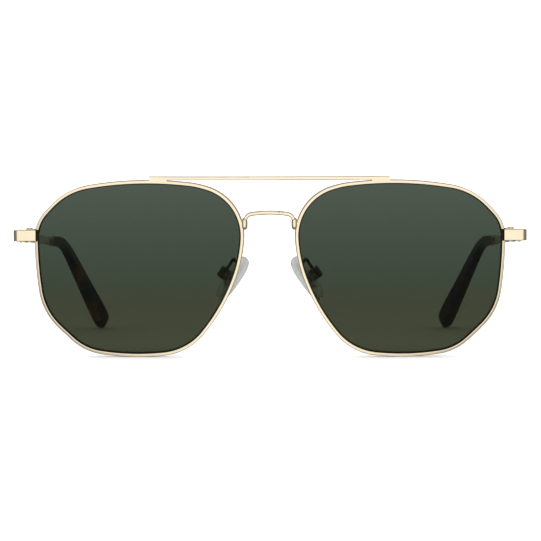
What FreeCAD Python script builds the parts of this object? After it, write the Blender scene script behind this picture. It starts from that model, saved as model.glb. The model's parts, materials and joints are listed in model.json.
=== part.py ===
import FreeCAD, Part
import math
import os

V = FreeCAD.Vector
Placement = FreeCAD.Placement
Rotation = FreeCAD.Rotation

# All sizes are in millimetres. X runs across the face, +Y points back along the temples and
# +Z is up. The front faces -Y, so +X is the wearer's left. The glasses stand open on the
# bottoms of the rims and the ends of the temple tips, at Z = 0.

# Front: two lenses on a base-4 sphere, wrapped and tilted
LENS_CENTRE_X = 36.67
FACE_RADIUS = 132.5
WRAP_ANGLE = 4.0
TILT_ANGLE = 6.0
FRONT_HEIGHT = 25.44

# Lens aperture: corner (u, v), radius of the bowed side to the next corner, corner rounding.
# u points to the temple and v up, from the boxing centre.
APERTURE = (
    (27.3, -12.9, 119.5, 16.3),
    (29.1, 11.3, 50.6, 9.4),
    (19.6, 20.7, 95.8, 18.6),
    (-14.9, 22.5, 33.0, 18.6),
    (-27.6, 17.2, 37.1, 13.6),
    (-26.3, -2.4, 53.4, 24.7),
    (-12.6, -23.5, 73.9, 16.2),
    (16.0, -23.5, 150.4, 13.7),
)

# Rim wire and the bevel groove that holds the lens
RIM_WIDTH = 0.98
RIM_DEPTH = 2.2
RIM_ROUND = 0.25
GROOVE_DEPTH = 0.4
GROOVE_FRONT = 0.95
GROOVE_BACK = 1.55
BEVEL_GAP = 0.05
LENS_GAP = 0.05
LENS_FRONT = 0.3
LENS_BACK = 2.1

# Closing block: the rim is split at the temple side and drawn together by a screw
CLOSING_BOTTOM = 6.75
CLOSING_TOP = 10.1
CLOSING_SPLIT = 8.4
SPLIT_GAP = 0.16
CLOSING_RECESS = 0.8
BARREL_X = 68.2
BARREL_Y = 8.75
BARREL_RADIUS = 1.1
BARREL_BOTTOM = 6.3
BARREL_TOP = 9.9
CLOSING_SHAFT_RADIUS = 0.5
CLOSING_HEAD_RADIUS = 0.85
CLOSING_HEAD_HEIGHT = 0.35
SLOT_WIDTH = 0.25
SLOT_DEPTH = 0.2

# End piece: a flat strip that runs out from the rim and turns back to the hinge
END_PIECE_X = 66.2
END_PIECE_Y = 4.9
END_CORNER_X = 72.8
END_CORNER_Y = 6.3
END_PIECE_THICK = 1.1
END_PIECE_BOTTOM = 32.75
END_PIECE_TOP = 36.0
END_PIECE_BEND = 1.6
END_PIECE_ROUND = 0.25

# Hinge: two front knuckles, one temple knuckle between them, a slotted screw
HINGE_X = 70.35
HINGE_Y = 11.0
HINGE_BOTTOM = 32.35
HINGE_TOP = 36.05
KNUCKLE_RADIUS = 1.2
TEMPLE_KNUCKLE_HEIGHT = 1.3
KNUCKLE_GAP = 0.06
LEAF_LENGTH = 3.2
BUTT_GAP = 0.05
HINGE_SHAFT_RADIUS = 0.6
HINGE_HEAD_RADIUS = 0.9
HINGE_HEAD_HEIGHT = 0.5
RUNNING_CLEARANCE = 0.04
LEAF_CLEARANCE = 0.1

# Temple bar, and the wire core that it narrows to inside the tip
BAR_START = V(72.25, HINGE_Y + BUTT_GAP, 34.25)
BAR_START_HEIGHT = 3.1
BAR_THICK = 1.1
BAR_END_HEIGHT = 2.4
BAR_END_THICK = 1.0
BAR_END_Y = 87.0
BAR_ROUND = 0.3
CORE_RADIUS = 0.65

# Acetate tip: straight run, ear bend, straight run; sections as (distance from the start as a
# share of the length, height, thickness, twist in degrees)
TIP_START = V(72.9, 84.0, 32.05)
EAR_BEND = V(70.8, 100.5, 31.45)
TIP_END = V(61.2, 138.9, 1.58)
EAR_BEND_RADIUS = 22.0
TIP_SECTIONS = (
    (0.0, 2.9, 2.3, 0.0),
    (0.1, 3.3, 2.6, 0.0),
    (0.19, 3.7, 2.8, 0.0),
    (0.27, 4.1, 2.9, 0.0),
    (0.35, 4.5, 3.0, 4.0),
    (0.55, 5.3, 3.2, 14.0),
    (0.8, 6.3, 3.5, 24.0),
    (0.93, 6.6, 3.5, 26.0),
    (0.98, 5.6, 3.0, 26.0),
    (1.0, 3.8, 2.0, 26.0),
)
TIP_CORNER = 0.42
CORE_SHARE = 0.88

# Bridge wire between the rims
BRIDGE_LEG_X = 6.75
BRIDGE_LEG_BOTTOM = 10.8
BRIDGE_SHOULDER_X = 5.1
BRIDGE_SHOULDER = 14.8
BRIDGE_TOP = 15.2
BRIDGE_CORNER = 1.0
BRIDGE_Y = 2.05
BRIDGE_THICK = 1.1
BRIDGE_DEPTH = 1.7
BRIDGE_ROUND = 0.4

# Brow bar across the top of both rims
BROW_HALF = 33.6
BROW_BOTTOM = 24.36
BROW_TOP = 25.35
BROW_FRONT_MIDDLE = 1.0
BROW_FRONT_END = 1.95
BROW_DEPTH = 1.4
BROW_FOOT_INNER = 28.6
BROW_FOOT_BOTTOM = 23.4
BROW_FOOT_SINK = 0.5
BROW_ROUND = 0.2

# Nose pad: its centre, long axis and the way its face points
PAD_CENTRE = V(10.9, 9.6, 22.25)
PAD_LONG = V(0.53, 0.10, -0.84)
PAD_FACE = V(-0.76, 0.42, -0.49)
PAD_LENGTH = 14.4
PAD_WIDTH = 7.9
PAD_END_ROUND = 3.6
PAD_BACK = 1.1
PAD_FRONT = 1.8
PAD_EDGE_ROUND = 1.0
CORE_PLATE_LENGTH = 7.0
CORE_PLATE_WIDTH = 3.2
CORE_PLATE_THICK = 0.5
LUG_LENGTH = 1.2
LUG_WIDTH = 1.3
LUG_REACH = 3.35
PIVOT_REACH = 2.7
BOX_LENGTH = 3.2
BOX_WIDTH = 2.7
BOX_FRONT = 1.7
BOX_BACK = 4.0
CAVITY_LENGTH = 2.3
CAVITY_WIDTH = 1.5
CAVITY_BACK = 3.6
BOX_ROUND = 0.3
PAD_SCREW_RADIUS = 0.4
PAD_HEAD_RADIUS = 0.75
PAD_HEAD_HEIGHT = 0.4

# Pad arm wire, from the back of the rim over to the top of the pad box
ARM_RADIUS = 0.45
ARM_FOOT = V(8.58, 2.6, 26.1)
ARM_RISE = V(9.15, 4.9, 26.5)
ARM_CREST = V(10.3, 7.6, 27.85)
ARM_BEND_RADIUS = 0.8
ARM_INTO_BOX = 0.6


# Frames

FRONT = Placement(V(0, 0, FRONT_HEIGHT), Rotation(V(1, 0, 0), TILT_ANGLE))
LENS = FRONT * Placement(V(LENS_CENTRE_X, 0, 0), Rotation(V(0, 0, 1), WRAP_ANGLE))


def placed(shape, frame):
    result = shape.copy()
    result.Placement = frame * result.Placement
    return result


def pad_frame():
    face = V(PAD_FACE).normalize()
    along = V(PAD_LONG)
    along = (along - face * along.dot(face)).normalize()
    across = face.cross(along)
    return Placement(PAD_CENTRE, Rotation(along, across, face, "ZXY"))


# Small helpers

def box(low, high):
    size = high - low
    return Part.makeBox(size.x, size.y, size.z, low)


def edges_where(shape, test):
    return [edge for edge in shape.Edges if test(edge)]


def middle_of(edge):
    return edge.valueAt((edge.FirstParameter + edge.LastParameter) / 2)


def unit(a, b):
    return (b - a).normalize()


def rounded_path(points, radius):
    """Straight runs joined by tangent arcs of one radius."""
    pieces = []
    start = points[0]
    for before, corner, after in zip(points, points[1:], points[2:]):
        way_in = unit(before, corner)
        way_out = unit(corner, after)
        half_turn = way_in.getAngle(way_out) / 2
        setback = radius * math.tan(half_turn)
        arc_start = corner - way_in * setback
        arc_end = corner + way_out * setback
        inward = (way_out - way_in).normalize()
        centre = corner + inward * (radius / math.cos(half_turn))
        pieces.append(Part.LineSegment(start, arc_start).toShape())
        pieces.append(Part.Arc(arc_start, centre - inward * radius, arc_end).toShape())
        start = arc_end
    pieces.append(Part.LineSegment(start, points[-1]).toShape())
    return Part.Wire(pieces)


def round_wire(points, bend_radius, wire_radius):
    path = rounded_path(points, bend_radius)
    circle = Part.makeCircle(wire_radius, points[0], unit(points[0], points[1]))
    return path.makePipeShell([Part.Wire([circle])], True, False)


def rounded_rectangle(origin, across, up, width, height, radius):
    """Wire of a rectangle with round corners, centred on origin."""
    along = [across * (width / 2 - radius), up * (height / 2 - radius)]
    edges = []
    corners = []
    for sign_a, sign_u in ((1, 1), (-1, 1), (-1, -1), (1, -1)):
        corners.append((origin + along[0] * sign_a + along[1] * sign_u, sign_a, sign_u))
    for index, (centre, sign_a, sign_u) in enumerate(corners):
        side = centre + across * (radius * sign_a)
        top = centre + up * (radius * sign_u)
        diagonal = (across * sign_a + up * sign_u).normalize()
        first, last = (side, top) if index % 2 == 0 else (top, side)
        edges.append(Part.Arc(first, centre + diagonal * radius, last).toShape())
    wire = []
    for edge, following in zip(edges, edges[1:] + edges[:1]):
        side = Part.LineSegment(edge.lastVertex().Point, following.firstVertex().Point)
        wire.append(edge)
        wire.append(side.toShape())
    return Part.Wire(wire)


# Lens outline

def flat(point):
    return V(point[0], 0, point[1])


def side_centre(start, end, radius):
    middle = (start + end) / 2
    half = (end - start) / 2
    inward = V(-half.z, 0, half.x).normalize()
    return middle + inward * math.sqrt(radius * radius - half.Length * half.Length)


def corner_centre(corner, centre_a, radius_a, centre_b, radius_b):
    """The point at radius_a from centre_a and radius_b from centre_b, nearest the corner."""
    line = centre_b - centre_a
    gap = line.Length
    along = (radius_a ** 2 - radius_b ** 2 + gap ** 2) / (2 * gap)
    off = math.sqrt(radius_a ** 2 - along ** 2)
    line.normalize()
    square = V(-line.z, 0, line.x)
    choices = [centre_a + line * along + square * off, centre_a + line * along - square * off]
    return min(choices, key=lambda point: (point - corner).Length)


def aperture_arcs():
    """Every arc of the aperture as (centre, radius, start direction, end direction)."""
    corners = [flat(row) for row in APERTURE]
    sides = [row[2] for row in APERTURE]
    rounds = [row[3] for row in APERTURE]
    count = len(corners)
    centres = [side_centre(corners[i], corners[(i + 1) % count], sides[i]) for i in range(count)]
    rolls = []
    for i in range(count):
        rolls.append(corner_centre(corners[i], centres[i - 1], sides[i - 1] - rounds[i],
                                   centres[i], sides[i] - rounds[i]))
    arcs = []
    for i in range(count):
        following = (i + 1) % count
        arcs.append((rolls[i], rounds[i], unit(centres[i - 1], rolls[i]),
                     unit(centres[i], rolls[i])))
        arcs.append((centres[i], sides[i], unit(centres[i], rolls[i]),
                     unit(centres[i], rolls[following])))
    return arcs


ARCS = aperture_arcs()


def outline_prism(offset, front=-6.0, back=24.0):
    """The aperture grown by offset, swept from front to back in the lens frame."""
    edges = []
    for centre, radius, start, end in ARCS:
        size = radius + offset
        halfway = (start + end).normalize()
        arc = Part.Arc(centre + start * size, centre + halfway * size, centre + end * size)
        edges.append(arc.toShape())
    face = Part.Face(Part.Wire(edges))
    face.translate(V(0, front, 0))
    return face.extrude(V(0, back - front, 0))


def face_shell(front, back):
    """The layer between two depths behind the front's sphere."""
    centre = V(0, FACE_RADIUS, 0)
    outer = Part.makeSphere(FACE_RADIUS - front, centre)
    return outer.cut(Part.makeSphere(FACE_RADIUS - back, centre))


# Front sub-parts, made on the wearer's left (+X) and mirrored

def closing_gap():
    return box(V(20, -6, CLOSING_BOTTOM), V(40, 24, CLOSING_TOP))


def make_rim():
    ring = outline_prism(RIM_WIDTH).cut(outline_prism(0.0))
    rim = ring.common(face_shell(0.0, RIM_DEPTH))
    front_centre = V(0, FACE_RADIUS, 0)

    def on_front(edge):
        return abs((middle_of(edge) - front_centre).Length - FACE_RADIUS) < 0.01

    rim = rim.makeFillet(RIM_ROUND, edges_where(rim, on_front))
    groove = outline_prism(GROOVE_DEPTH).common(face_shell(GROOVE_FRONT, GROOVE_BACK))
    rim = rim.cut(groove).cut(closing_gap())
    return placed(rim.Solids[0], LENS)


def make_lens():
    body = outline_prism(-LENS_GAP).common(face_shell(LENS_FRONT, LENS_BACK))
    bevel = outline_prism(GROOVE_DEPTH - BEVEL_GAP).common(face_shell(GROOVE_FRONT, GROOVE_BACK))
    return placed(body.fuse(bevel).removeSplitter().Solids[0], LENS)


def front_cylinder(radius, bottom, top):
    """An upright cylinder of the closing barrel, in the tilted front."""
    cylinder = Part.makeCylinder(radius, top - bottom, V(BARREL_X, BARREL_Y, bottom))
    return placed(cylinder, FRONT)


def make_closing_half(bottom, top, barrel_bottom, barrel_top, keep_out):
    web = box(V(26, 0, bottom), V(33.0, 12, top)).common(face_shell(CLOSING_RECESS, RIM_DEPTH))
    web = web.cut(outline_prism(0.0))
    web = web.cut(outline_prism(GROOVE_DEPTH).common(face_shell(GROOVE_FRONT, GROOVE_BACK)))
    half = placed(web, LENS).fuse(front_cylinder(BARREL_RADIUS, barrel_bottom, barrel_top))
    half = half.cut(front_cylinder(CLOSING_SHAFT_RADIUS, BARREL_BOTTOM - 1, BARREL_TOP + 1))
    half = half.cut(front_cylinder(CLOSING_HEAD_RADIUS, BARREL_TOP, BARREL_TOP + 1))
    half = half.cut(keep_out)
    return max(half.Solids, key=lambda solid: solid.Volume)


def make_closing_upper(end_piece):
    bottom = CLOSING_SPLIT + SPLIT_GAP / 2
    return make_closing_half(bottom, CLOSING_TOP, bottom, BARREL_TOP, end_piece)


def make_closing_lower(end_piece):
    top = CLOSING_SPLIT - SPLIT_GAP / 2
    return make_closing_half(CLOSING_BOTTOM, top, BARREL_BOTTOM, top, end_piece)


def make_closing_screw():
    shaft = front_cylinder(CLOSING_SHAFT_RADIUS, BARREL_BOTTOM, BARREL_TOP)
    head = front_cylinder(CLOSING_HEAD_RADIUS, BARREL_TOP, BARREL_TOP + CLOSING_HEAD_HEIGHT)
    screw = shaft.fuse(head).removeSplitter()
    top = BARREL_TOP + CLOSING_HEAD_HEIGHT
    slot = box(V(BARREL_X - 2, BARREL_Y - SLOT_WIDTH / 2, top - SLOT_DEPTH),
               V(BARREL_X + 2, BARREL_Y + SLOT_WIDTH / 2, top + 1))
    return screw.cut(placed(slot, FRONT))


def make_end_piece():
    start = V(END_PIECE_X, END_PIECE_Y, END_PIECE_BOTTOM)
    corner = V(END_CORNER_X, END_CORNER_Y, END_PIECE_BOTTOM)
    end = V(END_CORNER_X, HINGE_Y - BUTT_GAP, END_PIECE_BOTTOM)
    run = unit(start, corner)
    square = V(-run.y, run.x, 0) * END_PIECE_THICK
    inner_x = END_CORNER_X - END_PIECE_THICK
    inner_corner_y = (start + square).y + (inner_x - (start + square).x) * run.y / run.x
    points = [start, corner, end, V(inner_x, end.y, end.z), V(inner_x, inner_corner_y, end.z),
              start + square, start]
    height = END_PIECE_TOP - END_PIECE_BOTTOM
    strip = Part.Face(Part.makePolygon(points)).extrude(V(0, 0, height))

    def outer_corner(edge):
        place = middle_of(edge)
        return abs(place.x - corner.x) < 0.01 and abs(place.y - corner.y) < 0.01

    def inner_corner(edge):
        place = middle_of(edge)
        return abs(place.x - inner_x) < 0.01 and abs(place.y - inner_corner_y) < 0.01

    strip = strip.makeFillet(END_PIECE_BEND, edges_where(strip, outer_corner))
    strip = strip.makeFillet(END_PIECE_BEND - END_PIECE_THICK, edges_where(strip, inner_corner))

    def outer_border(edge):
        place = middle_of(edge)
        level = abs(place.z - END_PIECE_BOTTOM) < 0.01 or abs(place.z - END_PIECE_TOP) < 0.01
        front = abs((place - start).cross(run).Length) < 0.01 + abs(place.z - start.z)
        return level and (place.x > inner_x + 0.6 or front and place.y < corner.y)

    return strip.makeFillet(END_PIECE_ROUND, edges_where(strip, outer_border))


def hinge_cylinder(radius, bottom, top):
    return Part.makeCylinder(radius, top - bottom, V(HINGE_X, HINGE_Y, bottom))


def knuckle_levels():
    middle = (HINGE_BOTTOM + HINGE_TOP) / 2
    return middle - TEMPLE_KNUCKLE_HEIGHT / 2, middle + TEMPLE_KNUCKLE_HEIGHT / 2


def make_front_knuckles():
    """Both knuckles and the leaf that is soldered inside the end piece."""
    low, high = knuckle_levels()
    inner_x = END_CORNER_X - END_PIECE_THICK
    leaf = box(V(HINGE_X - 0.2, HINGE_Y - LEAF_LENGTH, HINGE_BOTTOM + 0.3),
               V(inner_x, HINGE_Y - BUTT_GAP, HINGE_TOP - 0.3))
    body = leaf.fuse(hinge_cylinder(KNUCKLE_RADIUS, HINGE_BOTTOM, HINGE_TOP))
    space = hinge_cylinder(KNUCKLE_RADIUS + LEAF_CLEARANCE, low - KNUCKLE_GAP, high + KNUCKLE_GAP)
    body = body.cut(space)
    body = body.cut(hinge_cylinder(HINGE_SHAFT_RADIUS, HINGE_BOTTOM - 1, HINGE_TOP + 1))
    return body.cut(hinge_cylinder(HINGE_HEAD_RADIUS, HINGE_TOP - HINGE_HEAD_HEIGHT, HINGE_TOP + 1))


def make_hinge_screw():
    shaft = hinge_cylinder(HINGE_SHAFT_RADIUS, HINGE_BOTTOM, HINGE_TOP - HINGE_HEAD_HEIGHT)
    head = hinge_cylinder(HINGE_HEAD_RADIUS, HINGE_TOP - HINGE_HEAD_HEIGHT, HINGE_TOP)
    slot = box(V(HINGE_X - 2, HINGE_Y - SLOT_WIDTH / 2, HINGE_TOP - SLOT_DEPTH),
               V(HINGE_X + 2, HINGE_Y + SLOT_WIDTH / 2, HINGE_TOP + 1))
    return shaft.fuse(head).removeSplitter().cut(slot)


def make_bridge():
    leg_foot = V(BRIDGE_LEG_X, BRIDGE_Y, BRIDGE_LEG_BOTTOM)
    shoulder = V(BRIDGE_SHOULDER_X, BRIDGE_Y, BRIDGE_SHOULDER)
    crest = V(0, BRIDGE_Y, BRIDGE_TOP)
    sag = BRIDGE_TOP - BRIDGE_SHOULDER
    arch_radius = (BRIDGE_SHOULDER_X ** 2 + sag ** 2) / (2 * sag)
    slope = math.asin(BRIDGE_SHOULDER_X / arch_radius)
    arch_centre = crest - V(0, 0, arch_radius)
    turn = math.pi / 2 - slope
    leg_top = V(BRIDGE_LEG_X, BRIDGE_Y, 0)
    corner_radius = (BRIDGE_LEG_X - BRIDGE_SHOULDER_X) / (1 - math.sin(slope))
    corner_centre_point = shoulder - V(math.sin(slope), 0, math.cos(slope)) * corner_radius
    leg_top.z = corner_centre_point.z
    middle = slope + turn / 2
    corner_middle = corner_centre_point + V(math.sin(middle), 0, math.cos(middle)) * corner_radius
    half = [Part.LineSegment(leg_foot, leg_top).toShape(),
            Part.Arc(leg_top, corner_middle, shoulder).toShape()]
    arch_top = arch_centre + V(0, 0, arch_radius)
    arch = Part.Arc(shoulder, arch_top, V(-shoulder.x, shoulder.y, shoulder.z))
    other = [edge.mirror(V(0, 0, 0), V(1, 0, 0)) for edge in half]
    path = Part.Wire([half[0], half[1], arch.toShape(), other[1], other[0]])
    section = rounded_rectangle(leg_foot, V(1, 0, 0), V(0, 1, 0), BRIDGE_THICK, BRIDGE_DEPTH,
                                BRIDGE_ROUND)
    wire = path.makePipeShell([section], True, False)
    return fit_to_rims(placed(wire, FRONT))


def fit_to_rims(shape, sink=0.0):
    """Cut a piece of the front to the outside of both rims, or let it sink into them."""
    solid_rim = placed(outline_prism(RIM_WIDTH - sink), LENS)
    other = solid_rim.mirror(V(0, 0, 0), V(1, 0, 0))
    result = shape.cut(solid_rim).cut(other)
    return max(result.Solids, key=lambda solid: solid.Volume)


def make_brow_bar():
    sag = BROW_FRONT_END - BROW_FRONT_MIDDLE
    radius = (BROW_HALF ** 2 + sag ** 2) / (2 * sag)
    centre = V(0, BROW_FRONT_MIDDLE + radius, BROW_FOOT_BOTTOM)
    height = BROW_TOP - BROW_FOOT_BOTTOM
    layer = Part.makeCylinder(radius, height, centre).cut(
        Part.makeCylinder(radius - BROW_DEPTH, height, centre))
    bar = layer.common(box(V(-BROW_HALF, -2, BROW_BOTTOM), V(BROW_HALF, 9, BROW_TOP)))

    def long_edge(edge):
        return edge.Length > BROW_HALF

    bar = bar.makeFillet(BROW_ROUND, edges_where(bar, long_edge))
    for side in (-1, 1):
        ends = sorted((side * BROW_FOOT_INNER, side * BROW_HALF))
        foot = layer.common(box(V(ends[0], -2, BROW_FOOT_BOTTOM), V(ends[1], 9, BROW_BOTTOM + 0.3)))
        bar = bar.fuse(foot)
    return fit_to_rims(placed(bar.removeSplitter(), FRONT), BROW_FOOT_SINK)


# Temple sub-parts

def make_temple_hinge():
    """The middle knuckle and the leaf that is soldered inside the temple bar."""
    low, high = knuckle_levels()
    inner_x = END_CORNER_X - END_PIECE_THICK
    leaf = box(V(HINGE_X - 0.2, HINGE_Y + BUTT_GAP, low),
               V(inner_x + 0.6, HINGE_Y + LEAF_LENGTH, high))
    body = leaf.fuse(hinge_cylinder(KNUCKLE_RADIUS, low, high))
    bore = hinge_cylinder(HINGE_SHAFT_RADIUS + RUNNING_CLEARANCE, HINGE_BOTTOM, HINGE_TOP)
    return body.cut(bore).cut(bar_blank())


def bar_line(y):
    share = (y - BAR_START.y) / (TIP_START.y - BAR_START.y)
    return BAR_START + (TIP_START - BAR_START) * share


def bar_blank():
    start = rounded_rectangle(BAR_START, V(1, 0, 0), V(0, 0, 1), BAR_THICK, BAR_START_HEIGHT,
                              BAR_ROUND)
    end = rounded_rectangle(bar_line(BAR_END_Y), V(1, 0, 0), V(0, 0, 1), BAR_END_THICK,
                            BAR_END_HEIGHT, BAR_ROUND)
    return Part.makeLoft([start, end], True, True)


def core_points():
    end = EAR_BEND + (TIP_END - EAR_BEND) * CORE_SHARE
    return [bar_line(BAR_END_Y - 3), EAR_BEND, end]


def make_temple_bar():
    core = round_wire(core_points(), EAR_BEND_RADIUS, CORE_RADIUS)
    return bar_blank().fuse(core).removeSplitter()


def tip_station(distance):
    """Place and direction at a distance along the tip's centre line."""
    way_in = unit(TIP_START, EAR_BEND)
    way_out = unit(EAR_BEND, TIP_END)
    turn = way_in.getAngle(way_out)
    setback = EAR_BEND_RADIUS * math.tan(turn / 2)
    first = (EAR_BEND - TIP_START).Length - setback
    arc = EAR_BEND_RADIUS * turn
    inward = (way_out - way_in).normalize()
    centre = EAR_BEND + inward * (EAR_BEND_RADIUS / math.cos(turn / 2))
    hinge_line = way_in.cross(way_out).normalize()
    if distance <= first:
        return TIP_START + way_in * distance, way_in
    if distance >= first + arc:
        return EAR_BEND + way_out * (setback + distance - first - arc), way_out
    rotation = Rotation(hinge_line, math.degrees((distance - first) / EAR_BEND_RADIUS))
    spoke = (EAR_BEND - way_in * setback) - centre
    return centre + rotation.multVec(spoke), rotation.multVec(way_in)


def tip_length():
    way_in = unit(TIP_START, EAR_BEND)
    way_out = unit(EAR_BEND, TIP_END)
    turn = way_in.getAngle(way_out)
    straight = (EAR_BEND - TIP_START).Length + (TIP_END - EAR_BEND).Length
    return straight - 2 * EAR_BEND_RADIUS * math.tan(turn / 2) + EAR_BEND_RADIUS * turn


def make_temple_tip(temple_bar):
    side = unit(EAR_BEND, TIP_END).cross(unit(TIP_START, EAR_BEND)).normalize()
    sections = []
    for share, height, thick, twist in TIP_SECTIONS:
        place, way = tip_station(share * tip_length())
        up = side.cross(way)
        turned = Rotation(way, -twist)
        sections.append(rounded_rectangle(place, turned.multVec(side), turned.multVec(up), thick,
                                          height, thick * TIP_CORNER))
    return Part.makeLoft(sections, True, False).cut(temple_bar)


# Nose pad sub-parts, in the pad frame: X along the pad (down), Y across it (back), Z out of its face

def make_pad_core():
    plate = Part.makeCylinder(CORE_PLATE_WIDTH / 2, CORE_PLATE_THICK, V(0, 0, -CORE_PLATE_THICK / 2))
    spread = (CORE_PLATE_LENGTH - CORE_PLATE_WIDTH) / 2
    for side in (-1, 1):
        plate = plate.fuse(Part.makeCylinder(CORE_PLATE_WIDTH / 2, CORE_PLATE_THICK,
                                             V(side * spread, 0, -CORE_PLATE_THICK / 2)))
    plate = plate.fuse(box(V(-spread, -CORE_PLATE_WIDTH / 2, -CORE_PLATE_THICK / 2),
                           V(spread, CORE_PLATE_WIDTH / 2, CORE_PLATE_THICK / 2)))
    lug = box(V(-LUG_LENGTH / 2, -LUG_WIDTH / 2, -LUG_REACH), V(LUG_LENGTH / 2, LUG_WIDTH / 2, 0))
    core = plate.fuse(lug).removeSplitter()
    return core.cut(pad_cylinder(PAD_SCREW_RADIUS + RUNNING_CLEARANCE, -2, 2))


def pad_cylinder(radius, start, end):
    return Part.makeCylinder(radius, end - start, V(0, start, -PIVOT_REACH), V(0, 1, 0))


def make_nose_pad(core):
    outline = rounded_rectangle(V(0, 0, -PAD_BACK), V(1, 0, 0), V(0, 1, 0), PAD_LENGTH, PAD_WIDTH,
                                PAD_END_ROUND)
    pad = Part.Face(outline).extrude(V(0, 0, PAD_BACK + PAD_FRONT))

    def rim_edge(edge):
        return abs(edge.valueAt(edge.FirstParameter).z - edge.valueAt(edge.LastParameter).z) < 0.01

    pad = pad.makeFillet(PAD_EDGE_ROUND, edges_where(pad, rim_edge))
    return pad.cut(core)


def make_pad_box():
    housing = box(V(-BOX_LENGTH / 2, -BOX_WIDTH / 2, -BOX_BACK),
                  V(BOX_LENGTH / 2, BOX_WIDTH / 2, -BOX_FRONT))

    def outside_edge(edge):
        return middle_of(edge).z < -BOX_FRONT - 0.01

    housing = housing.makeFillet(BOX_ROUND, edges_where(housing, outside_edge))
    housing = housing.cut(box(V(-CAVITY_LENGTH / 2, -CAVITY_WIDTH / 2, -CAVITY_BACK),
                              V(CAVITY_LENGTH / 2, CAVITY_WIDTH / 2, 0)))
    return housing.cut(pad_cylinder(PAD_SCREW_RADIUS, -BOX_WIDTH, BOX_WIDTH))


def make_pad_screw():
    shaft = pad_cylinder(PAD_SCREW_RADIUS, -BOX_WIDTH / 2, BOX_WIDTH / 2)
    head_front = -BOX_WIDTH / 2 - PAD_HEAD_HEIGHT
    head = pad_cylinder(PAD_HEAD_RADIUS, head_front, -BOX_WIDTH / 2)
    slot = box(V(-2, head_front - 1, -PIVOT_REACH - SLOT_WIDTH / 2),
               V(2, head_front + SLOT_DEPTH, -PIVOT_REACH + SLOT_WIDTH / 2))
    return shaft.fuse(head).removeSplitter().cut(slot)


def make_pad_arm(rim, pad_box):
    frame = pad_frame()
    middle = -(BOX_FRONT + BOX_BACK) / 2
    inside = frame.multVec(V(-BOX_LENGTH / 2 + ARM_INTO_BOX, 0, middle))
    above = frame.multVec(V(-BOX_LENGTH / 2 - 1.8, 0, middle))
    arm = round_wire([ARM_FOOT, ARM_RISE, ARM_CREST, above, inside], ARM_BEND_RADIUS, ARM_RADIUS)
    arm = arm.cut(rim).cut(pad_box)
    return max(arm.Solids, key=lambda solid: solid.Volume)


# Assembly

def make_side(brow_bar):
    """Every piece of the wearer's left side, by name."""
    rim = make_rim().cut(brow_bar)
    end_piece = make_end_piece().cut(rim)
    core = make_pad_core()
    temple_bar = make_temple_bar()
    frame = pad_frame()
    pad_box = placed(make_pad_box(), frame)
    closing_upper = make_closing_upper(end_piece)
    closing_lower = make_closing_lower(end_piece)
    return {
        "rim": rim,
        "lens": make_lens(),
        "closing_block_upper": closing_upper,
        "closing_block_lower": closing_lower,
        "closing_screw": make_closing_screw(),
        "end_piece": end_piece,
        "hinge_front": make_front_knuckles(),
        "hinge_screw": make_hinge_screw(),
        "hinge_temple": make_temple_hinge(),
        "temple_bar": temple_bar,
        "temple_tip": make_temple_tip(temple_bar),
        "pad_arm": make_pad_arm(rim, pad_box),
        "pad_box": pad_box,
        "pad_screw": placed(make_pad_screw(), frame),
        "pad_core": placed(core, frame),
        "nose_pad": placed(make_nose_pad(core), frame),
    }


def assemble():
    brow_bar = make_brow_bar()
    parts = {"bridge": make_bridge(), "brow_bar": brow_bar}
    for name, shape in make_side(brow_bar).items():
        parts["left_" + name] = shape
        parts["right_" + name] = shape.mirror(V(0, 0, 0), V(1, 0, 0))
    return parts


def main():
    parts = assemble()
    boxes = [shape.optimalBoundingBox(False) for shape in parts.values()]
    front = min(bounds.YMin for bounds in boxes)
    back = max(bounds.YMax for bounds in boxes)
    to_middle = V(0, -(front + back) / 2, 0)
    os.makedirs("parts", exist_ok=True)
    for name, shape in parts.items():
        shape.translate(to_middle)
        shape.exportStep("parts/" + name + ".step")
    print("middle moved by", to_middle.y)
    print("rim foot at", parts["left_rim"].optimalBoundingBox(False).ZMin)
    print("tip foot at", parts["left_temple_tip"].optimalBoundingBox(False).ZMin)
    print("hinge axis at", HINGE_X, HINGE_Y + to_middle.y)
    pad = pad_frame()
    print("pad pivot at", pad.multVec(V(0, 0, -PIVOT_REACH)) + to_middle)
    print("pad axis along", pad.Rotation.multVec(V(0, 1, 0)))


main()
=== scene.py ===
import json
import math

import bpy
from mathutils import Matrix, Vector


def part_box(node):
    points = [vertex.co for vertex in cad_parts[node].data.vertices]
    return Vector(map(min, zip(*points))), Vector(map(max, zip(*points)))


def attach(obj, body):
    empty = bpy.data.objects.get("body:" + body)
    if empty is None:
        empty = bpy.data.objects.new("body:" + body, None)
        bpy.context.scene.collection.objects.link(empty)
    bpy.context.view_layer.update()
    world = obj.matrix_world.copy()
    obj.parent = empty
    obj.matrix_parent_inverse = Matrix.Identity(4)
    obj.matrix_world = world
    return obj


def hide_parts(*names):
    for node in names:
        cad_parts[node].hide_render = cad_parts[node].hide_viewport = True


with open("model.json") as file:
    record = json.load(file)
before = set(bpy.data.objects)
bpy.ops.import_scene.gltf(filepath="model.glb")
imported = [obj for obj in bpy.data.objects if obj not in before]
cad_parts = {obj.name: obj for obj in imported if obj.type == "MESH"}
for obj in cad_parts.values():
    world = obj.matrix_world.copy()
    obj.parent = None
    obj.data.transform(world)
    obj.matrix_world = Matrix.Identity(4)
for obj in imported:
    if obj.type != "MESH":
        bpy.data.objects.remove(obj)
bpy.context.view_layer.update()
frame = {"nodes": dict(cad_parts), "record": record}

MM = 0.001
SIDES = (("left", 1), ("right", -1))

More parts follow.
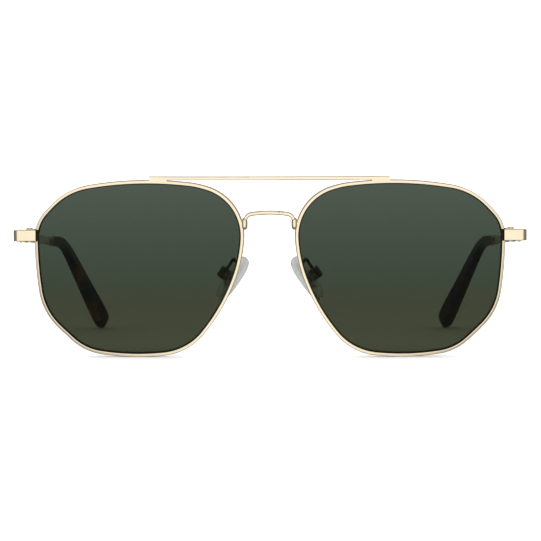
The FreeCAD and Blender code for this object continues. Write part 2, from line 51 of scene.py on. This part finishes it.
# Camera: its distance in front of the lenses, height above the floor and distance to one side
# in metres, its turns in degrees, and the width in view at the lenses
CAMERA_DISTANCE = 0.48
CAMERA_HEIGHT = 0.0385
CAMERA_ASIDE = 0.0048
CAMERA_PITCH = 1.658
CAMERA_YAW = 0.538
CAMERA_ROLL = 0.12
VIEW_WIDTH = 0.1509
CAMERA_NEAR = 0.01
SENSOR = 36.0

# Studio: an even white tent, dimmer where it is seen through a lens or a pad, and a soft light
# overhead, its spread in degrees
TENT_LIGHT = 1.6
BEHIND_LIGHT = 0.5
OVERHEAD_STRENGTH = 0.55
OVERHEAD_WAY = (-0.15, -0.25, 1.0)
OVERHEAD_SPREAD = 80.0
FLOOR_SIZE = 60.0

# The room that polished metal mirrors, as pairs of a place and a level. Places on the walls go
# from 0 behind the camera to 1 behind the glasses, and on the ceiling from 0, level, to 1, overhead
WALL_LIGHT = 1.08
ROOM_WALLS = ((0.0, WALL_LIGHT), (0.2, WALL_LIGHT), (0.28, 0.24), (0.6, 0.18), (0.85, 0.22),
              (1.0, 0.4))
ROOM_CEILING = ((0.0, 0.0), (0.3, 0.0), (0.65, 0.14), (1.0, 0.2))

# The part of a noise's range that colour and roughness are spread over
NOISE_MIDDLE = (0.3, 0.7)

# Tint of the lenses from the bottom to the top of a span of heights above the floor; the bottom
# stops are lifted, painted light against the floor's shadow seen through the lens
TINT_SPAN = (2.0 * MM, 49.0 * MM)
LENS_TINT_AND_PAINTED_LIGHT = (
    (0.0, (0.128, 0.144, 0.086, 1)),
    (0.12, (0.109, 0.126, 0.078, 1)),
    (0.28, (0.102, 0.116, 0.071, 1)),
    (0.45, (0.095, 0.128, 0.087, 1)),
    (0.6, (0.106, 0.144, 0.104, 1)),
    (1.0, (0.155, 0.195, 0.150, 1)),
)

# Colours of the tips, from the dark ground to the brightest patches
TORTOISE = (
    (0.46, (0.006, 0.005, 0.006, 1)),
    (0.60, (0.026, 0.011, 0.008, 1)),
    (0.76, (0.130, 0.046, 0.018, 1)),
)

# The front's frame, as the CAD part has it: a sphere, tilted and wrapped
FACE_RADIUS = 132.5 * MM
FRONT_HEIGHT = 25.44 * MM
FRONT_SHIFT = -69.1968 * MM
FRONT_TILT = math.radians(6.0)
LENS_WRAP = math.radians(4.0)
LENS_CENTRE_X = 36.67 * MM
LENS_FRONT_DEPTH = 0.3 * MM

# Dark line between lens and rim, widest at the temple and the bottom; the direction is in the
# lens frame, wearer's left
BEVEL_REACH = 0.35 * MM
EDGE_LINE_WIDTH = 0.30 * MM
EDGE_LINE_EXTRA = 0.20 * MM
EDGE_LINE_PROUD = 0.2 * MM
EDGE_LINE_GAP = 0.02 * MM
EDGE_LINE_STEPS = 320
EDGE_LINE_WIDEST = (0.45, -0.89)

# Where the painted shade in the recess between rim and end piece ends, out from the middle, and how
# softly
RECESS_EDGE = 66.4 * MM
RECESS_FADE = 0.4 * MM

# Nose pads: directions along the pad (down) and out of its face, wearer's left
PAD_LONG = (0.53, 0.10, -0.84)
PAD_FACE = (-0.76, 0.42, -0.49)
PAD_LENGTH = 14.4 * MM
PAD_WIDTH = 7.9 * MM
PAD_THICK = 2.9 * MM
PAD_OUTLINE_POWER = 2.9
PAD_SIDE_POWER = 2.6

# Solder at the foot of the bridge, wearer's left, in the front's frame; halves are across, deep
# and tall
BRIDGE_BEAD = (6.95 * MM, 1.95 * MM, 12.1 * MM)
BRIDGE_BEAD_HALVES = (0.85 * MM, 1.2 * MM, 1.75 * MM)
BEAD_OUTLINE_POWER = 3.0
BEAD_SIDE_POWER = 2.4

# Temple line, wearer's left, before the front's shift; ferrule sections are (distance back from
# the tip's start, height, thickness)
BAR_START = (72.25 * MM, 11.05 * MM, 34.25 * MM)
TIP_START = (72.9 * MM, 84.0 * MM, 32.05 * MM)
FERRULE_STEPS = 32
FERRULE_POWER = 3.4
FERRULE_SECTIONS = (
    (-1.9 * MM, 2.56 * MM, 1.12 * MM),
    (-1.9 * MM, 2.75 * MM, 1.5 * MM),
    (-1.6 * MM, 3.0 * MM, 2.2 * MM),
    (-1.0 * MM, 3.06 * MM, 2.4 * MM),
    (-0.3 * MM, 3.06 * MM, 2.4 * MM),
    (-0.02 * MM, 2.95 * MM, 2.3 * MM),
    (-0.02 * MM, 2.56 * MM, 1.12 * MM),
)


# Node helpers

def set_inputs(made, inputs):
    """Set inputs by name, with underscores for the spaces."""
    for name, value in inputs.items():
        made.inputs[name.replace("_", " ")].default_value = value


def new_material(name, **inputs):
    material = bpy.data.materials.new(name)
    material.use_nodes = True
    tree = material.node_tree
    shader = tree.nodes["Principled BSDF"]
    set_inputs(shader, inputs)
    return material, tree, shader


def node(tree, kind, **inputs):
    made = tree.nodes.new(kind)
    set_inputs(made, inputs)
    return made


def object_position(tree):
    return tree.nodes.new("ShaderNodeTexCoord").outputs["Object"]


def separate(tree, vector):
    made = tree.nodes.new("ShaderNodeSeparateXYZ")
    tree.links.new(vector, made.inputs[0])
    return made.outputs


def noise(tree, scale, detail=3.0, rough=0.5, distortion=0.0):
    made = node(tree, "ShaderNodeTexNoise", Scale=scale, Detail=detail, Roughness=rough,
                Distortion=distortion)
    tree.links.new(object_position(tree), made.inputs["Vector"])
    return made.outputs["Fac"]


def ramp(tree, source, *stops):
    made = tree.nodes.new("ShaderNodeValToRGB")
    elements = made.color_ramp.elements
    elements[0].position, elements[0].color = stops[0]
    elements[1].position, elements[1].color = stops[-1]
    for position, colour in stops[1:-1]:
        elements.new(position).color = colour
    tree.links.new(source, made.inputs["Fac"])
    return made.outputs["Color"]


def grey_ramp(tree, source, levels):
    stops = [(position, (level, level, level, 1)) for position, level in levels]
    return ramp(tree, source, *stops)


def two_tone(tree, source, first, second):
    """From one colour to another over the middle of a noise."""
    low, high = NOISE_MIDDLE
    return ramp(tree, source, (low, first), (high, second))


def to_range(tree, source, low, high, from_low=0.0, from_high=1.0):
    made = node(tree, "ShaderNodeMapRange", From_Min=from_low, From_Max=from_high, To_Min=low,
                To_Max=high)
    tree.links.new(source, made.inputs["Value"])
    return made.outputs["Result"]


def math_node(tree, operation, first, second=None):
    made = tree.nodes.new("ShaderNodeMath")
    made.operation = operation
    tree.links.new(first, made.inputs[0])
    if isinstance(second, float):
        made.inputs[1].default_value = second
    elif second is not None:
        tree.links.new(second, made.inputs[1])
    return made.outputs[0]


def colour_mix(tree, blend="MIX"):
    made = tree.nodes.new("ShaderNodeMix")
    made.data_type = "RGBA"
    made.blend_type = blend
    return made


def paint(tree, shader, colour):
    tree.links.new(colour, shader.inputs["Base Color"])


def roughen(tree, shader, source, low, high):
    """Roughness that follows the middle of a noise."""
    tree.links.new(to_range(tree, source, low, high, *NOISE_MIDDLE), shader.inputs["Roughness"])


def bump(tree, shader, source, strength, distance):
    made = node(tree, "ShaderNodeBump", Strength=strength, Distance=distance)
    tree.links.new(source, made.inputs["Height"])
    tree.links.new(made.outputs["Normal"], shader.inputs["Normal"])


# Materials

def gold_material():
    material, tree, shader = new_material("champagne_gold", Metallic=1.0)
    tone = noise(tree, scale=160.0, detail=4.0)
    paint(tree, shader, two_tone(tree, tone, (0.94, 0.80, 0.57, 1), (0.96, 0.83, 0.61, 1)))
    roughen(tree, shader, noise(tree, scale=420.0, detail=6.0, rough=0.6), 0.10, 0.19)
    bump(tree, shader, noise(tree, scale=2600.0), strength=0.08, distance=0.05 * MM)
    return material


def steel_material():
    material, tree, shader = new_material("screw_steel", Metallic=1.0)
    tone = noise(tree, scale=900.0, detail=4.0)
    paint(tree, shader, two_tone(tree, tone, (0.74, 0.66, 0.52, 1), (0.86, 0.78, 0.64, 1)))
    roughen(tree, shader, tone, 0.25, 0.45)
    bump(tree, shader, noise(tree, scale=4200.0, detail=2.0), strength=0.1, distance=0.04 * MM)
    return material


def lens_material():
    """Dark green tint, a little more olive towards the bottom and lightest at the top; at the
    bottom it is lifted, painted light against the floor's shadow seen through the lens.
    """
    material, tree, shader = new_material("green_lens", Roughness=0.02, IOR=1.12,
                                          Transmission_Weight=1.0)
    above = separate(tree, object_position(tree))["Z"]
    paint(tree, shader, ramp(tree, to_range(tree, above, 0.0, 1.0, *TINT_SPAN), *LENS_TINT_AND_PAINTED_LIGHT))
    return material


def acetate_material():
    """Tortoise: near black with brown patches under a glossy coat."""
    material, tree, shader = new_material("tortoise_acetate", Coat_Weight=0.35,
                                          Coat_Roughness=0.06)
    patches = noise(tree, scale=110.0, rough=0.55, distortion=1.2)
    paint(tree, shader, ramp(tree, patches, *TORTOISE))
    roughen(tree, shader, noise(tree, scale=600.0, detail=5.0), 0.14, 0.26)
    bump(tree, shader, noise(tree, scale=260.0, detail=2.0), strength=0.05, distance=0.2 * MM)
    return material


def closing_material():
    """Gold, with painted shade, nearly black, in the narrow recess between rim and end piece."""
    material, tree, shader = new_material("closing_block_gold_painted_shade", Metallic=1.0)
    across = math_node(tree, "ABSOLUTE", separate(tree, object_position(tree))["X"])
    past_recess = to_range(tree, across, 0.0, 1.0, RECESS_EDGE, RECESS_EDGE + RECESS_FADE)
    patches = noise(tree, scale=900.0, detail=4.0)
    # Painted shade: nearly black where the recess lies between rim and end piece
    recess = two_tone(tree, patches, (0.012, 0.010, 0.004, 1), (0.035, 0.030, 0.015, 1))
    mixed = colour_mix(tree)
    mixed.inputs["B"].default_value = (0.94, 0.79, 0.59, 1)
    tree.links.new(past_recess, mixed.inputs["Factor"])
    tree.links.new(recess, mixed.inputs["A"])
    paint(tree, shader, mixed.outputs["Result"])
    roughen(tree, shader, patches, 0.3, 0.45)
    bump(tree, shader, noise(tree, scale=2600.0), strength=0.1, distance=0.05 * MM)
    return material


def shaded_gold_material():
    """The dull gold of the small pad fittings, painted darker than the front as shade."""
    material, tree, shader = new_material("gold_painted_shade", Metallic=1.0)
    tone = noise(tree, scale=700.0, detail=4.0)
    # Painted shade: the gold of the pad fittings made dark brown
    paint(tree, shader, two_tone(tree, tone, (0.20, 0.155, 0.095, 1), (0.34, 0.27, 0.18, 1)))
    roughen(tree, shader, tone, 0.3, 0.42)
    bump(tree, shader, noise(tree, scale=3200.0), strength=0.12, distance=0.05 * MM)
    return material


def edge_line_material():
    """Nearly black, for the dark line along the lens edge inside the rim."""
    material, tree, shader = new_material("lens_edge_dark", IOR=1.2)
    tone = noise(tree, scale=700.0)
    paint(tree, shader, two_tone(tree, tone, (0.003, 0.003, 0.0015, 1), (0.009, 0.009, 0.005, 1)))
    roughen(tree, shader, tone, 0.25, 0.4)
    return material


def silicone_material():
    """Clear and slightly milky, with a soft sheen."""
    material, tree, shader = new_material("clear_silicone", Base_Color=(0.93, 0.94, 0.93, 1),
                                          IOR=1.3, Transmission_Weight=0.75)
    roughen(tree, shader, noise(tree, scale=500.0, detail=4.0), 0.16, 0.26)
    bump(tree, shader, noise(tree, scale=260.0, detail=2.0), strength=0.02, distance=0.1 * MM)
    return material


MATERIALS = {
    "gold": gold_material(),
    "steel": steel_material(),
    "lens": lens_material(),
    "acetate": acetate_material(),
    "silicone": silicone_material(),
}
CLOSING_GOLD_AND_SHADE = closing_material()
PAINTED_SHADE_GOLD = shaded_gold_material()
LENS_EDGE_DARK = edge_line_material()


def finish_cad_nodes():
    """Each CAD node in its slot's material, but for the closing blocks and pad fittings, which get
    gold with painted shade.
    """
    slots = {part["node"]: part["material_slot"] for part in frame["record"]["subparts"]}
    for name, obj in frame["nodes"].items():
        material = MATERIALS[slots[name]]
        if "closing_block" in name:
            material = CLOSING_GOLD_AND_SHADE
        elif name.endswith(("pad_box", "pad_arm")):
            material = PAINTED_SHADE_GOLD
        for slot in obj.material_slots:
            slot.material = material


# Pieces

def add_piece(name, points, faces, material, body):
    mesh = bpy.data.meshes.new(name)
    mesh.from_pydata([tuple(point) for point in points], [], faces)
    mesh.update()
    mesh.shade_smooth()
    mesh.materials.append(material)
    obj = bpy.data.objects.new(name, mesh)
    bpy.context.scene.collection.objects.link(obj)
    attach(obj, body)
    return obj


def ring_faces(rings, count, closed=False):
    """Quads between rings of count points; a closed set joins the last ring to the first."""
    faces = []
    pairs = len(rings) if closed else len(rings) - 1
    for ring in range(pairs):
        start = ring * count
        beyond = ((ring + 1) % len(rings)) * count
        for step in range(count):
            after = (step + 1) % count
            faces.append((start + step, start + after, beyond + after, beyond + step))
    return faces


def mirrored(point, sign):
    return Vector((point[0] * sign, point[1], point[2]))


def wound(faces, sign):
    """The same faces, turned over on the mirrored side."""
    return faces if sign > 0 else [tuple(reversed(face)) for face in faces]


def front_frame():
    place = Matrix.Translation((0, FRONT_SHIFT, FRONT_HEIGHT))
    return place @ Matrix.Rotation(FRONT_TILT, 4, "X")


def lens_frame():
    centre = Matrix.Translation((LENS_CENTRE_X, 0, 0))
    return front_frame() @ centre @ Matrix.Rotation(LENS_WRAP, 4, "Z")


def hull(points):
    """Corners of the tight outline round points, anticlockwise."""
    points = sorted(set(points))
    outline = []
    for run in (points, points[::-1]):
        chain = []
        for point in run:
            while len(chain) > 1 and turn(chain[-2], chain[-1], point) <= 0:
                chain.pop()
            chain.append(point)
        outline += chain[:-1]
    return outline


def turn(a, b, c):
    """Positive where the way from a through b to c turns anticlockwise."""
    return (b[0] - a[0]) * (c[1] - a[1]) - (b[1] - a[1]) * (c[0] - a[0])


def evenly(outline, count):
    """count points the same distance apart along a closed outline."""
    closed = [Vector(point) for point in outline] + [Vector(outline[0])]
    lengths = [(b - a).length for a, b in zip(closed, closed[1:])]
    spacing = sum(lengths) / count
    made = []
    passed = 0.0
    for start, end, length in zip(closed, closed[1:], lengths):
        while len(made) * spacing < passed + length and len(made) < count:
            made.append(start.lerp(end, (len(made) * spacing - passed) / length))
        passed += length
    return made


def lens_outline():
    """The outline of the CAD lens with its bevel, in the lens frame."""
    into_lens = lens_frame().inverted()
    flat = []
    for vertex in frame["nodes"]["left_lens"].data.vertices:
        place = into_lens @ vertex.co
        flat.append((round(place.x, 6), round(place.z, 6)))
    return evenly(hull(flat), EDGE_LINE_STEPS)


def outward(points, index):
    """Unit direction out of an anticlockwise outline, at one of its points."""
    along = points[(index + 1) % len(points)] - points[index - 1]
    return Vector((along.y, -along.x)).normalized()


def on_face(u, v, depth):
    """A point at a depth behind the front's sphere, in the lens frame."""
    return Vector((u, FACE_RADIUS - math.sqrt((FACE_RADIUS - depth) ** 2 - u * u - v * v), v))


def make_edge_lines():
    """A thin dark strip just in front of each lens, along the inner edge of its rim."""
    outline = lens_outline()
    to_world = lens_frame()
    widest = Vector(EDGE_LINE_WIDEST).normalized()
    back = LENS_FRONT_DEPTH - EDGE_LINE_GAP
    front = back - EDGE_LINE_PROUD
    corners = ((0, back), (0, front), (1, front), (1, back))
    rings = []
    for inner, depth in corners:
        ring = []
        for index, point in enumerate(outline):
            normal = outward(outline, index)
            width = EDGE_LINE_WIDTH + EDGE_LINE_EXTRA * normal.dot(widest)
            place = point - normal * (BEVEL_REACH + EDGE_LINE_GAP + width * inner)
            ring.append(to_world @ on_face(place.x, place.y, depth))
        rings.append(ring)
    points = [point for ring in rings for point in ring]
    faces = ring_faces(rings, EDGE_LINE_STEPS, closed=True)
    for side, sign in SIDES:
        piece = add_piece(side + "_lens_edge_line", [mirrored(point, sign) for point in points],
                          wound(faces, sign), LENS_EDGE_DARK, "front")
        piece.data.shade_flat()


def pad_axes():
    face = Vector(PAD_FACE).normalized()
    along = Vector(PAD_LONG)
    along = (along - face * along.dot(face)).normalized()
    return along, face.cross(along), face


def rounded_power(angle, power):
    """Cosine and sine drawn out towards a square, the more so the higher the power."""
    across = math.copysign(abs(math.cos(angle)) ** (2.0 / power), math.cos(angle))
    up = math.copysign(abs(math.sin(angle)) ** (2.0 / power), math.sin(angle))
    return across, up


def pillow(axes, halves, outline_power, side_power, steps=48, layers=14):
    """A cushion about the origin, outlined in the first two axes and crowned in the third."""
    along, across, face = axes
    rings = []
    for layer in range(1, layers):
        size, height = rounded_power(math.pi * layer / layers - math.pi / 2, side_power)
        ring = []
        for step in range(steps):
            u, v = rounded_power(2 * math.pi * step / steps, outline_power)
            ring.append(along * (u * halves[0] * size) + across * (v * halves[1] * size)
                        + face * (height * halves[2]))
        rings.append(ring)
    points = [point for ring in rings for point in ring]
    faces = ring_faces(rings, steps)
    for ring, way in ((0, -1), (len(rings) - 1, 1)):
        points.append(face * (way * halves[2]))
        tip = len(points) - 1
        for step in range(steps):
            first = ring * steps + step
            second = ring * steps + (step + 1) % steps
            faces.append((tip, second, first) if way < 0 else (tip, first, second))
    return points, faces


def smooth_over(piece):
    smooth = piece.modifiers.new("smooth", "SUBSURF")
    smooth.levels = 1
    smooth.render_levels = 1


def make_nose_pads():
    """Soft pads with a rounded border and a crowned face, fuller than an ellipse in outline."""
    halves = (PAD_LENGTH / 2, PAD_WIDTH / 2, PAD_THICK / 2)
    points, faces = pillow(pad_axes(), halves, PAD_OUTLINE_POWER, PAD_SIDE_POWER)
    for side, sign in SIDES:
        low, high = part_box(side + "_nose_pad")
        middle = (low + high) / 2
        placed = [middle + mirrored(point, sign) for point in points]
        piece = add_piece(side + "_soft_pad", placed, wound(faces, sign), MATERIALS["silicone"],
                          side + "_pad")
        smooth_over(piece)
        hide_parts(side + "_nose_pad")


def make_solder_beads():
    """Solder filling the joints where the feet of the bridge meet the rims."""
    axes = (Vector((1, 0, 0)), Vector((0, 0, 1)), Vector((0, 1, 0)))
    middle = front_frame() @ Vector(BRIDGE_BEAD)
    across, deep, tall = BRIDGE_BEAD_HALVES
    points, faces = pillow(axes, (across, tall, deep), BEAD_OUTLINE_POWER, BEAD_SIDE_POWER,
                           steps=32, layers=10)
    for side, sign in SIDES:
        placed = [mirrored(middle + point, sign) for point in points]
        piece = add_piece(side + "_bridge_solder", placed, wound(faces, sign), MATERIALS["gold"],
                          "front")
        smooth_over(piece)


def make_ferrules():
    """Metal collars where the temple bars enter the acetate tips."""
    way = (Vector(TIP_START) - Vector(BAR_START)).normalized()
    side_axis = Vector((1, 0, 0))
    up = side_axis.cross(way).normalized()
    start = Vector(TIP_START) + Vector((0, FRONT_SHIFT, 0))
    rings = []
    for distance, height, thick in FERRULE_SECTIONS:
        ring = []
        for step in range(FERRULE_STEPS):
            across, rise = rounded_power(2 * math.pi * step / FERRULE_STEPS, FERRULE_POWER)
            ring.append(start + way * distance + side_axis * (across * thick / 2)
                        + up * (rise * height / 2))
        rings.append(ring)
    points = [point for ring in rings for point in ring]
    faces = ring_faces(rings, FERRULE_STEPS, closed=True)
    for side, sign in SIDES:
        piece = add_piece(side + "_tip_ferrule", [mirrored(point, sign) for point in points],
                          wound(faces, sign), MATERIALS["gold"], side + "_temple")
        smooth_over(piece)


# Stage

def make_floor():
    """A floor just pale enough to match the tent, so that no horizon shows."""
    overhead = OVERHEAD_STRENGTH * Vector(OVERHEAD_WAY).normalized().z / math.pi
    match = 1.0 / (TENT_LIGHT + overhead)
    bpy.ops.mesh.primitive_plane_add(size=FLOOR_SIZE, location=(0, 0, 0))
    floor = bpy.context.object
    floor.name = "floor"
    material, tree, shader = new_material("pale_floor", Roughness=0.9, Specular_IOR_Level=0.0)
    through = tree.nodes.new("ShaderNodeLightPath").outputs["Is Transmission Ray"]
    paint(tree, shader, to_range(tree, through, TENT_LIGHT * match, BEHIND_LIGHT * match))
    floor.data.materials.append(material)
    floor.visible_glossy = False


def overhead_light():
    """One very soft light from above, even over the whole floor."""
    light = bpy.data.lights.new("overhead", "SUN")
    light.energy = OVERHEAD_STRENGTH
    light.angle = math.radians(OVERHEAD_SPREAD)
    obj = bpy.data.objects.new("overhead", light)
    obj.visible_glossy = False
    obj.rotation_euler = Vector(OVERHEAD_WAY).to_track_quat("Z", "Y").to_euler()
    bpy.context.scene.collection.objects.link(obj)


def room_light(tree):
    """What polished metal mirrors: a lit wall behind the camera, dark around it, light above."""
    way = separate(tree, tree.nodes.new("ShaderNodeTexCoord").outputs["Generated"])
    toward = math_node(tree, "MULTIPLY", way["Y"], -1.0)
    angle = math_node(tree, "DIVIDE", math_node(tree, "ARCCOSINE", toward), math.pi)
    walls = grey_ramp(tree, angle, ROOM_WALLS)
    ceiling = grey_ramp(tree, way["Z"], ROOM_CEILING)
    room = colour_mix(tree, "ADD")
    room.inputs["Factor"].default_value = 1.0
    tree.links.new(walls, room.inputs["A"])
    tree.links.new(ceiling, room.inputs["B"])
    return room.outputs["Result"]


def light_studio():
    """An even white tent, dimmer for what has passed through a lens; mirrors see the room."""
    world = bpy.data.worlds.new("studio")
    bpy.context.scene.world = world
    world.use_nodes = True
    tree = world.node_tree
    path = tree.nodes.new("ShaderNodeLightPath").outputs
    mirrored_ray = math_node(tree, "SUBTRACT", path["Is Glossy Ray"], path["Is Transmission Ray"])
    seen = colour_mix(tree)
    tree.links.new(to_range(tree, path["Is Transmission Ray"], TENT_LIGHT, BEHIND_LIGHT),
                   seen.inputs["A"])
    tree.links.new(math_node(tree, "MAXIMUM", mirrored_ray, 0.0), seen.inputs["Factor"])
    tree.links.new(room_light(tree), seen.inputs["B"])
    tree.links.new(seen.outputs["Result"], tree.nodes["Background"].inputs["Color"])
    overhead_light()
    bpy.context.scene.view_settings.view_transform = "Standard"


def make_camera():
    data = bpy.data.cameras.new("camera")
    camera = bpy.data.objects.new("camera", data)
    bpy.context.scene.collection.objects.link(camera)
    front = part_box("left_lens")[0].y
    camera.location = (CAMERA_ASIDE, front - CAMERA_DISTANCE, CAMERA_HEIGHT)
    camera.rotation_euler = (math.radians(90 - CAMERA_PITCH), math.radians(CAMERA_ROLL),
                             math.radians(CAMERA_YAW))
    data.sensor_width = SENSOR
    data.lens = SENSOR * CAMERA_DISTANCE / VIEW_WIDTH
    data.clip_start = CAMERA_NEAR
    bpy.context.scene.camera = camera


finish_cad_nodes()
make_edge_lines()
make_nose_pads()
make_solder_beads()
make_ferrules()
make_floor()
light_studio()
make_camera()
